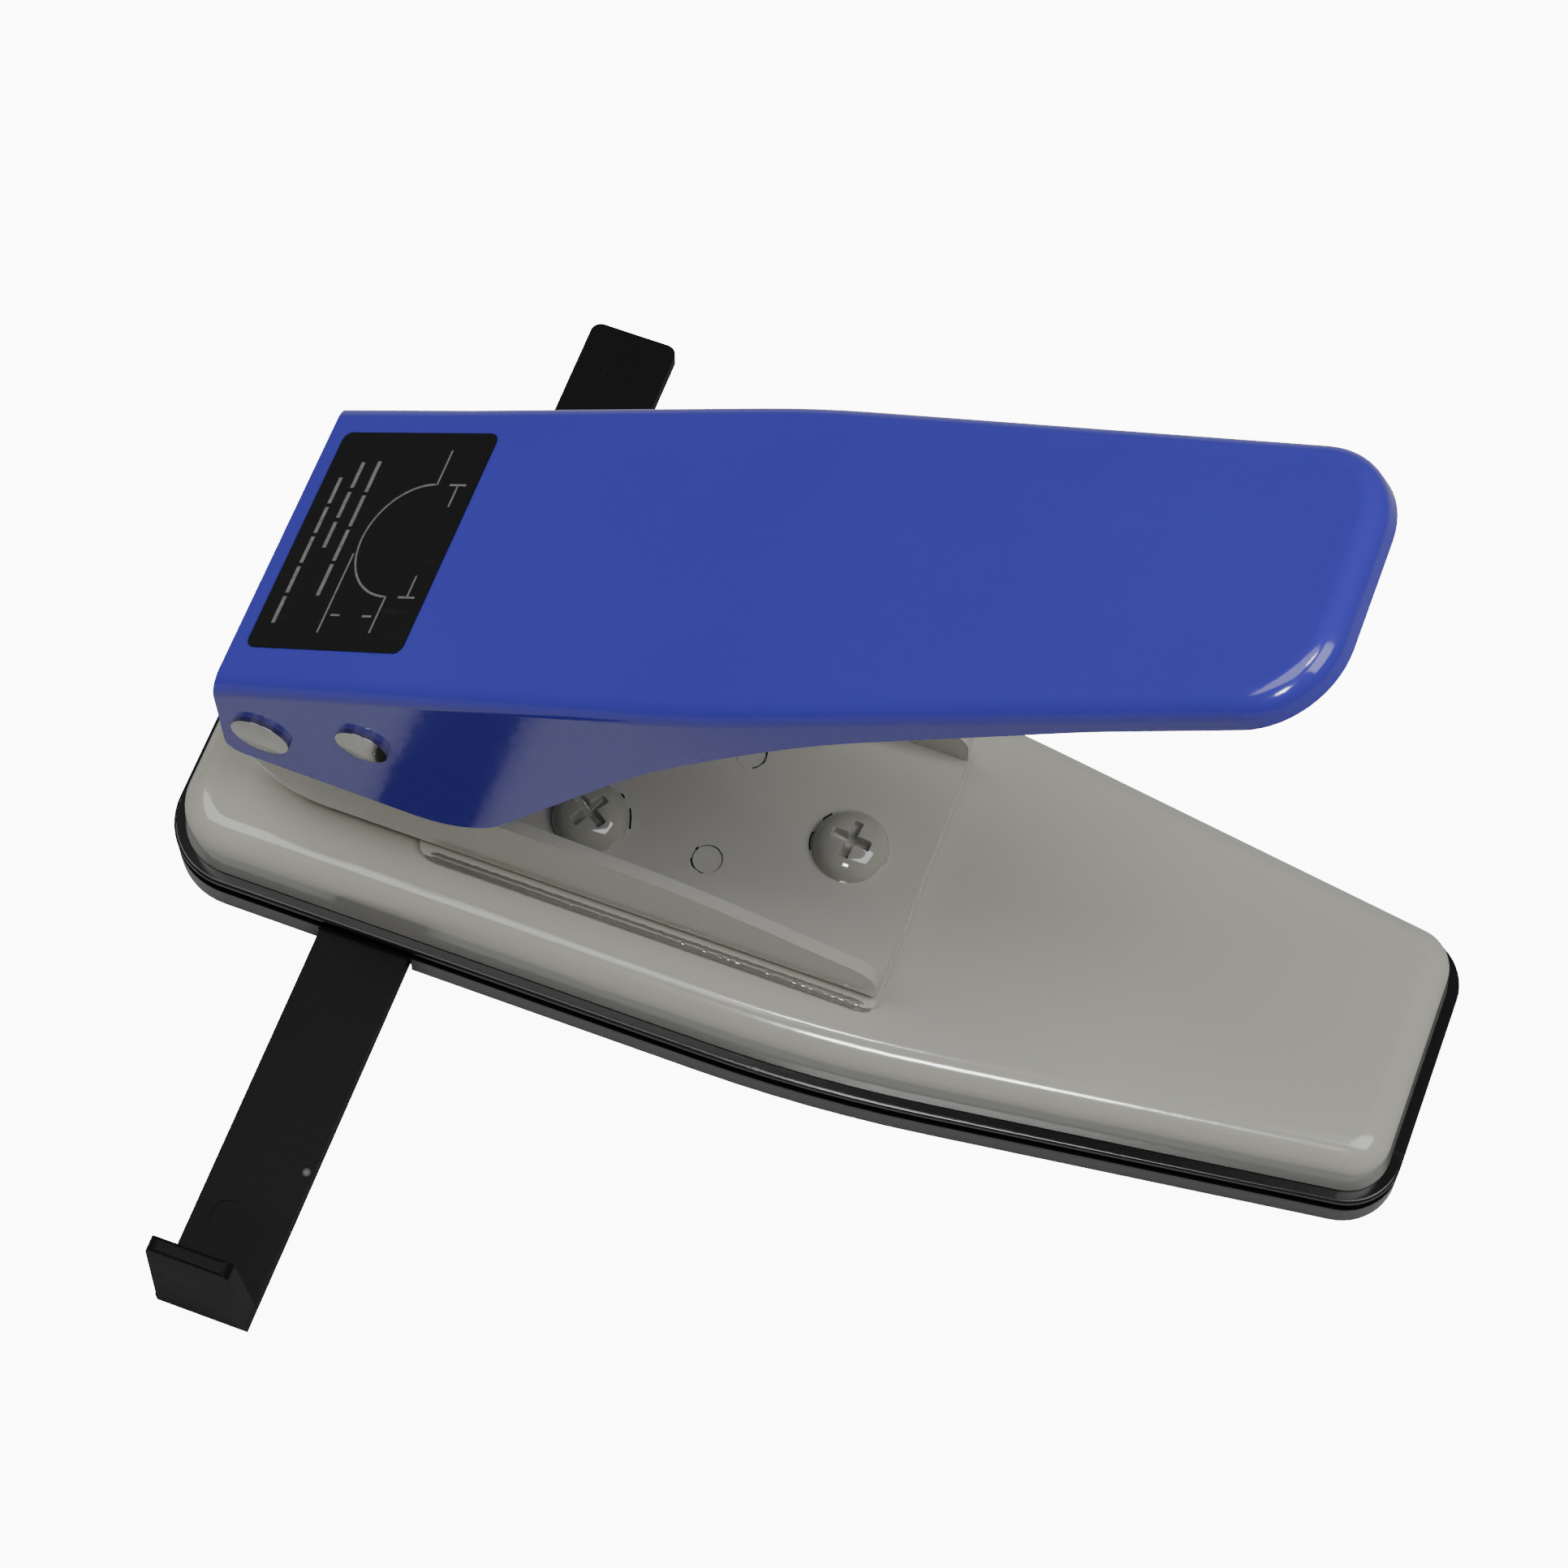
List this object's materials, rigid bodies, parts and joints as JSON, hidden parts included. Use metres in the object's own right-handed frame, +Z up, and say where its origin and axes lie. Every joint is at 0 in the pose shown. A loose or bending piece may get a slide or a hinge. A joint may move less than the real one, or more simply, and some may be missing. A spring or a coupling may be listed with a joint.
{
  "type": "hole punch",
  "caption": "Desktop lever punch that cuts a half-round notch in a paper edge, with a long pressed handle, a tapered base and a sliding paper guide.",
  "frame": {"origin": "on the underside of the chip tray, below the middle of the base's length, on the plane of symmetry of the base", "axes": "+Z up, +X from the paper end to the free end of the handle, -Y to the side the guide's stop stands on"},
  "size_m": [0.1996, 0.1815, 0.1582],
  "materials": {
    "base_paint": "gloss beige-grey enamel",
    "bracket_paint": "gloss beige-grey enamel",
    "handle_paint": "gloss royal blue enamel",
    "tray_plastic": "satin black moulding",
    "guide_plastic": "satin black moulding",
    "label_film": "printed black film",
    "keeper_steel": "zinc plated",
    "die_steel": "ground",
    "screw_steel": "nickel plated",
    "pin_steel": "polished nickel",
    "spring_steel": "bright drawn wire"
  },
  "bodies": {
    "base": {"base_cover": "base_paint", "die_plate": "die_steel", "back_stop_plate": "base_paint", "bracket": "bracket_paint", "frame_screws": "bracket_paint", "dowel_pins": "bracket_paint", "punch_guide": "die_steel", "guide_block_screws": "screw_steel", "pivot_sleeve": "die_steel"},
    "tray": {"chip_tray": "tray_plastic", "guide_keeper": "keeper_steel", "keeper_screws": "screw_steel"},
    "guide": {"paper_guide": "guide_plastic"},
    "lever": {"handle": "handle_paint", "handle_label": "label_film", "pivot_pin": "pin_steel", "drive_pin": "pin_steel", "retaining_rings": "spring_steel", "pivot_washers": "screw_steel", "drive_spacers": "screw_steel"},
    "punch": {"punch_holder": "die_steel", "punch_blade": "pin_steel", "blade_screw": "screw_steel", "return_springs": "spring_steel"}
  },
  "joints": [
    {"name": "lever_press", "type": "hinge", "parent": "base", "child": "lever", "pos_m": [-0.0799, 0, 0.051], "axis": [0, 1, 0], "range_deg": [0, 22], "stiffness_Nm_per_rad": 0.8, "springref_deg": -34.38},
    {"name": "punch_stroke", "type": "slide", "parent": "base", "child": "punch", "axis": [0, 0, -1], "range_m": [0, 0.0074], "deforming": ["return_springs"]},
    {"name": "tray_removal", "type": "slide", "parent": "base", "child": "tray", "axis": [0, 0, -1], "range_m": [0, 0.02]},
    {"name": "guide_slide", "type": "slide", "parent": "tray", "child": "guide", "axis": [0, 1, 0], "range_m": [-0.04, 0.06]}
  ],
  "couplings": [
    {"joint": "punch_stroke", "follows": "lever_press", "m_per_rad": 0.018578}
  ]
}
